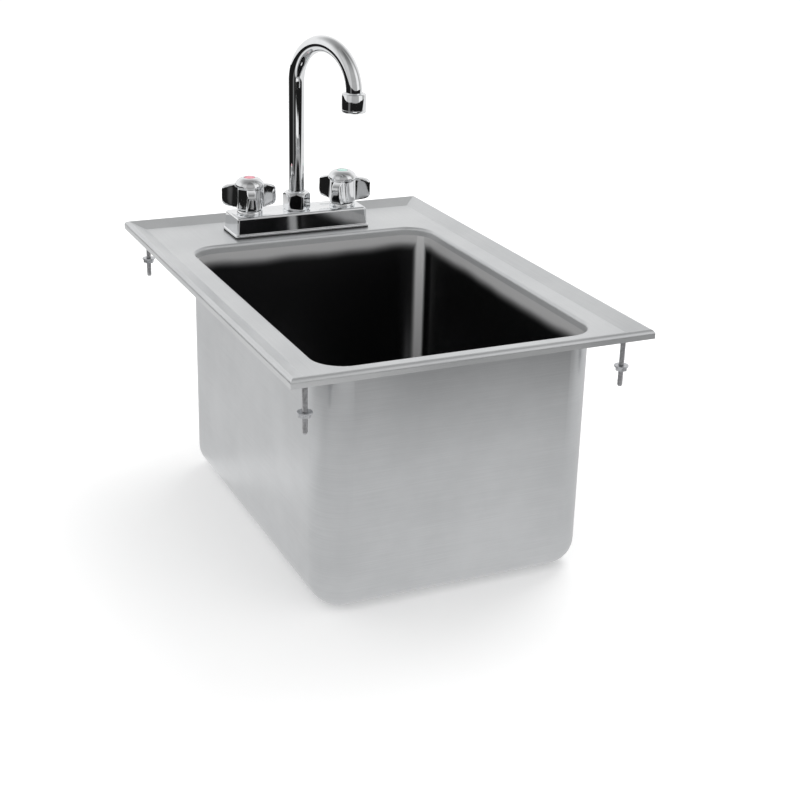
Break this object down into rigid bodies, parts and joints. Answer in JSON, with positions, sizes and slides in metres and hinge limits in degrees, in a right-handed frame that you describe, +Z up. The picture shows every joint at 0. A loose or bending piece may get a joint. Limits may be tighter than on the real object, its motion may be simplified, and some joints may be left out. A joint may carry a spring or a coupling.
{
  "type": "drop-in sink with gooseneck faucet",
  "caption": "Drop-in stainless steel sink with a deep bowl, open drain hole, raised rim edge and mounting studs, and a centreset faucet with winged handles and a swivelling gooseneck.",
  "frame": {"origin": "centre of the rim in plan, at the height of the bowl's flat underside", "axes": "+X to the user's right (cold side), +Y to the rear ledge that carries the faucet, +Z up"},
  "size_m": [0.3302, 0.4826, 0.4285],
  "materials": {
    "deck_sheet": "satin polished stainless sheet",
    "bowl_sheet": "satin drawn stainless sheet",
    "stud_steel": "plain threaded steel",
    "zinc_steel": "bright zinc plate",
    "chrome_cover": "polished chrome plate",
    "chrome_fittings": "polished chrome plate",
    "chrome_tube": "polished chrome plate",
    "chrome_handles": "polished chrome plate over a zinc casting",
    "cast_brass": "as-cast brass with machined bores",
    "plain_brass": "machined brass",
    "black_rubber": "black moulded rubber",
    "white_ceramic": null,
    "white_acetal": "moulded acetal",
    "grey_plastic": "moulded plastic",
    "red_plastic": "moulded red plastic",
    "blue_plastic": "moulded blue plastic"
  },
  "bodies": {
    "sink": {"rim_deck": "deck_sheet", "bowl": "bowl_sheet", "mounting_studs": "stud_steel", "deck_gasket": "black_rubber", "faucet_cover": "chrome_cover", "waterway": "cast_brass", "shank_washers": "zinc_steel", "shank_locknuts": "plain_brass", "spout_nut": "chrome_fittings", "slip_ring": "white_acetal", "seat_seal_hot": "black_rubber", "cartridge_hot": "plain_brass", "fixed_disc_hot": "white_ceramic", "bonnet_nut_hot": "chrome_fittings", "seat_seal_cold": "black_rubber", "cartridge_cold": "plain_brass", "fixed_disc_cold": "white_ceramic", "bonnet_nut_cold": "chrome_fittings"},
    "hot_handle": {"handle_hot": "chrome_handles", "stem_hot": "plain_brass", "turning_disc_hot": "white_ceramic", "handle_screw_hot": "zinc_steel", "index_button_hot": "red_plastic"},
    "cold_handle": {"handle_cold": "chrome_handles", "stem_cold": "plain_brass", "turning_disc_cold": "white_ceramic", "handle_screw_cold": "zinc_steel", "index_button_cold": "blue_plastic"},
    "spout": {"spout_tube": "chrome_tube", "spout_sleeve": "plain_brass", "spout_orings": "black_rubber", "spout_tip": "plain_brass", "aerator_housing": "chrome_fittings", "aerator_screen": "grey_plastic", "aerator_washer": "black_rubber"},
    "clamp_nut_front_left": {"stud_washer_front_left": "zinc_steel", "stud_nut_front_left": "zinc_steel"},
    "clamp_nut_front_right": {"stud_washer_front_right": "zinc_steel", "stud_nut_front_right": "zinc_steel"},
    "clamp_nut_rear_left": {"stud_washer_rear_left": "zinc_steel", "stud_nut_rear_left": "zinc_steel"},
    "clamp_nut_rear_right": {"stud_washer_rear_right": "zinc_steel", "stud_nut_rear_right": "zinc_steel"}
  },
  "joints": [
    {"name": "hot_handle_turn", "type": "hinge", "parent": "sink", "child": "hot_handle", "pos_m": [-0.0508, 0.178, 0.26], "axis": [0, 0, 1], "range_deg": [0, 90]},
    {"name": "cold_handle_turn", "type": "hinge", "parent": "sink", "child": "cold_handle", "pos_m": [0.0508, 0.178, 0.26], "axis": [0, 0, 1], "range_deg": [-90, 0]},
    {"name": "spout_swing", "type": "hinge", "parent": "sink", "child": "spout", "pos_m": [0, 0.178, 0.26], "axis": [0, 0, 1], "continuous": true},
    {"name": "clamp_nut_lift_front_left", "type": "slide", "parent": "sink", "child": "clamp_nut_front_left", "axis": [0, 0, 1], "range_m": [-0.0145, 0.027]},
    {"name": "clamp_nut_lift_front_right", "type": "slide", "parent": "sink", "child": "clamp_nut_front_right", "axis": [0, 0, 1], "range_m": [-0.0145, 0.027]},
    {"name": "clamp_nut_lift_rear_left", "type": "slide", "parent": "sink", "child": "clamp_nut_rear_left", "axis": [0, 0, 1], "range_m": [-0.0145, 0.027]},
    {"name": "clamp_nut_lift_rear_right", "type": "slide", "parent": "sink", "child": "clamp_nut_rear_right", "axis": [0, 0, 1], "range_m": [-0.0145, 0.027]}
  ]
}
